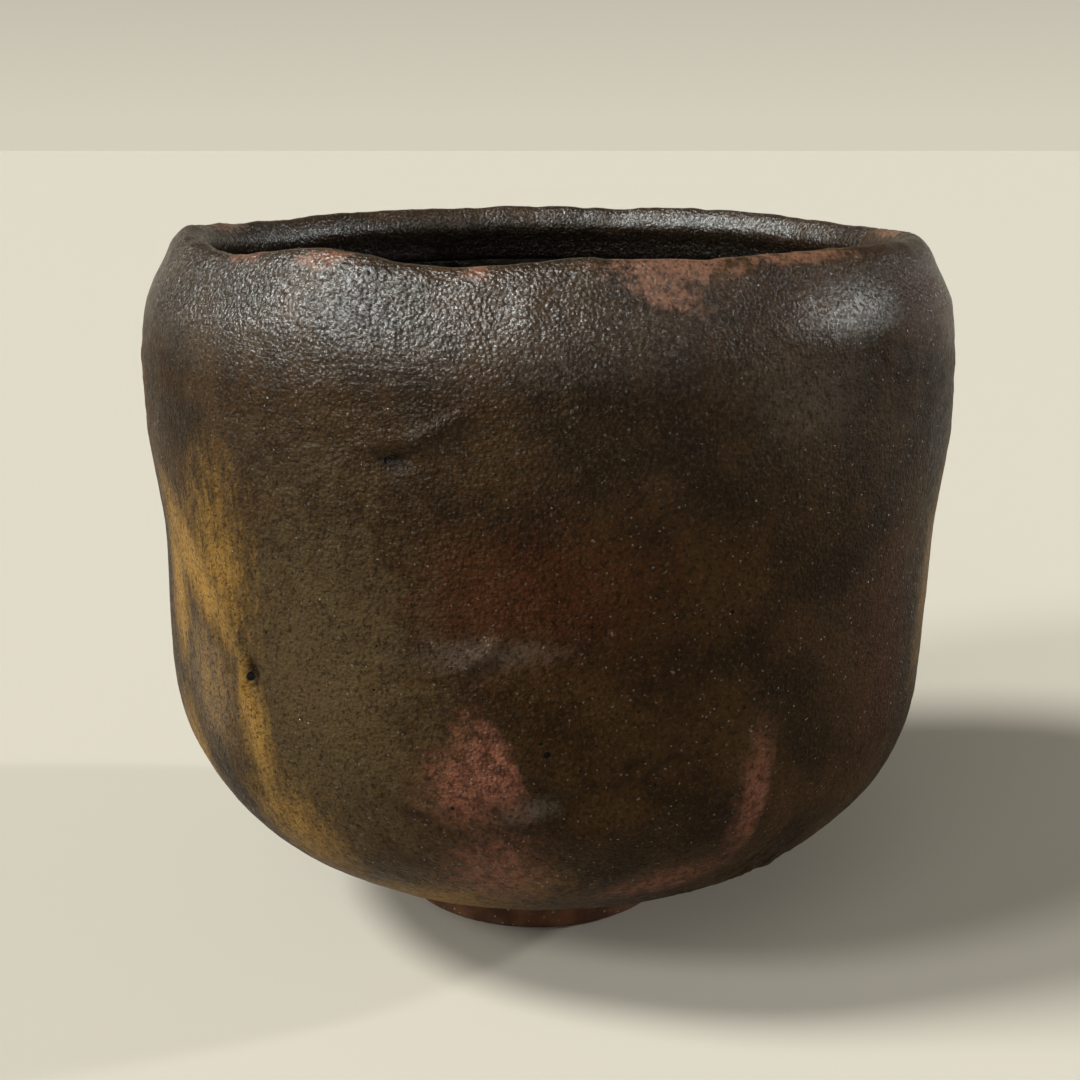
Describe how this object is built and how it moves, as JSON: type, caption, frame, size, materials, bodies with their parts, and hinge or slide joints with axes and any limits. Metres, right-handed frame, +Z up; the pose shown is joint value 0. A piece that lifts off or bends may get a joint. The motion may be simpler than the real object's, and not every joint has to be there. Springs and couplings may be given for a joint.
{
  "type": "matcha bowl",
  "caption": "Hand-built half-cylinder tea bowl with a black glaze outside and over the wavy lip, a glossy glaze inside and a low attached foot ring.",
  "frame": {"origin": "on the surface that the bowl stands on, at the centre of the bounding box", "axes": "+Z up, from the foot to the lip; +X along the bowl's widest direction; -Y is the front, the side with the lowest dip in the lip"},
  "size_m": [0.1134, 0.11, 0.0986],
  "materials": {
    "bare_clay": "matte, coarse dark clay",
    "black_glaze": "satin, grainy brown-black with pinholes, rust at the lip and wine-red patches low down",
    "well_glaze": "glossy black, thick and uneven"
  },
  "bodies": {
    "root": {"clay_body": "bare_clay", "foot_ring": "bare_clay", "outer_glaze": "black_glaze", "inner_glaze": "well_glaze"}
  },
  "joints": []
}
